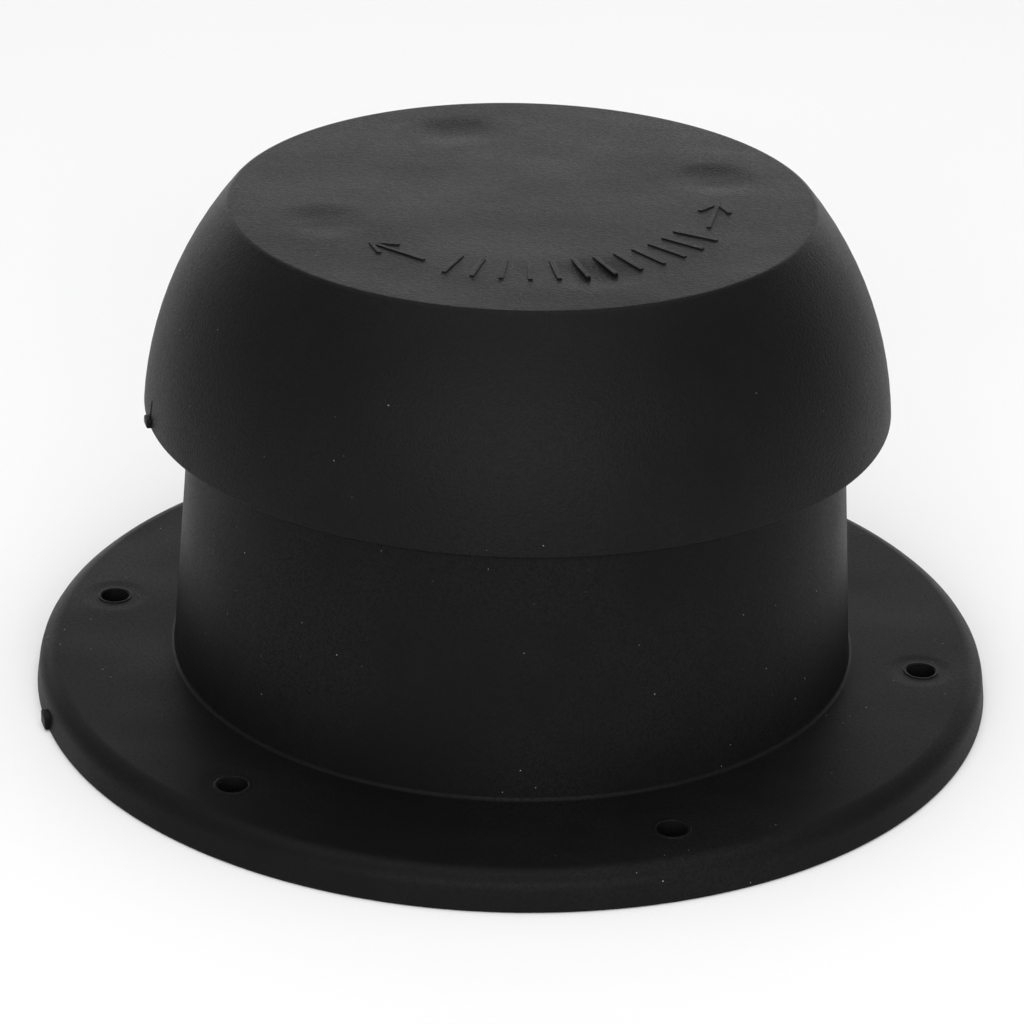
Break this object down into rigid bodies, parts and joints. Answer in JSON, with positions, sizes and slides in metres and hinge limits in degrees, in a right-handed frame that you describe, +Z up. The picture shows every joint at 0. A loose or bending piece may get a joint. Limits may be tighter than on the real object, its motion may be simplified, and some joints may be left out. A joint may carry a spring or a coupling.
{
  "type": "roof vent cover",
  "caption": "Round plumbing roof vent cover: a wide flanged base with a tapered collar under a domed, spring-held rain cap that lifts and turns.",
  "frame": {"origin": "middle of the flange's underside, on the roof", "axes": "+Z up along the vent pipe's axis; -Y towards the viewer"},
  "size_m": [0.147, 0.147, 0.0779],
  "materials": {
    "black_plastic": "fine grained moulded",
    "cap_plastic": "fine grained moulded",
    "gasket_foam": "closed-cell foam",
    "stainless": "drawn",
    "spring_steel": "drawn wire",
    "zinc_screw": "zinc plated"
  },
  "bodies": {
    "base": {"base_moulding": "black_plastic", "flange_gasket": "gasket_foam", "spring_crossbar": "stainless"},
    "tether": {"tether_spring": "spring_steel"},
    "cap": {"cap_moulding": "cap_plastic", "spring_screw": "zinc_screw", "spring_washer": "zinc_screw"}
  },
  "joints": [
    {"name": "cap_lift", "type": "slide", "parent": "base", "child": "tether", "axis": [0, 0, 1], "range_m": [0, 0.03], "stiffness_N_per_m": 300, "springref_m": -0.01, "deforming": ["tether_spring"]},
    {"name": "cap_turn", "type": "hinge", "parent": "tether", "child": "cap", "pos_m": [0, 0, 0.0503], "axis": [0, 0, 1], "range_deg": [-30, 30]}
  ]
}
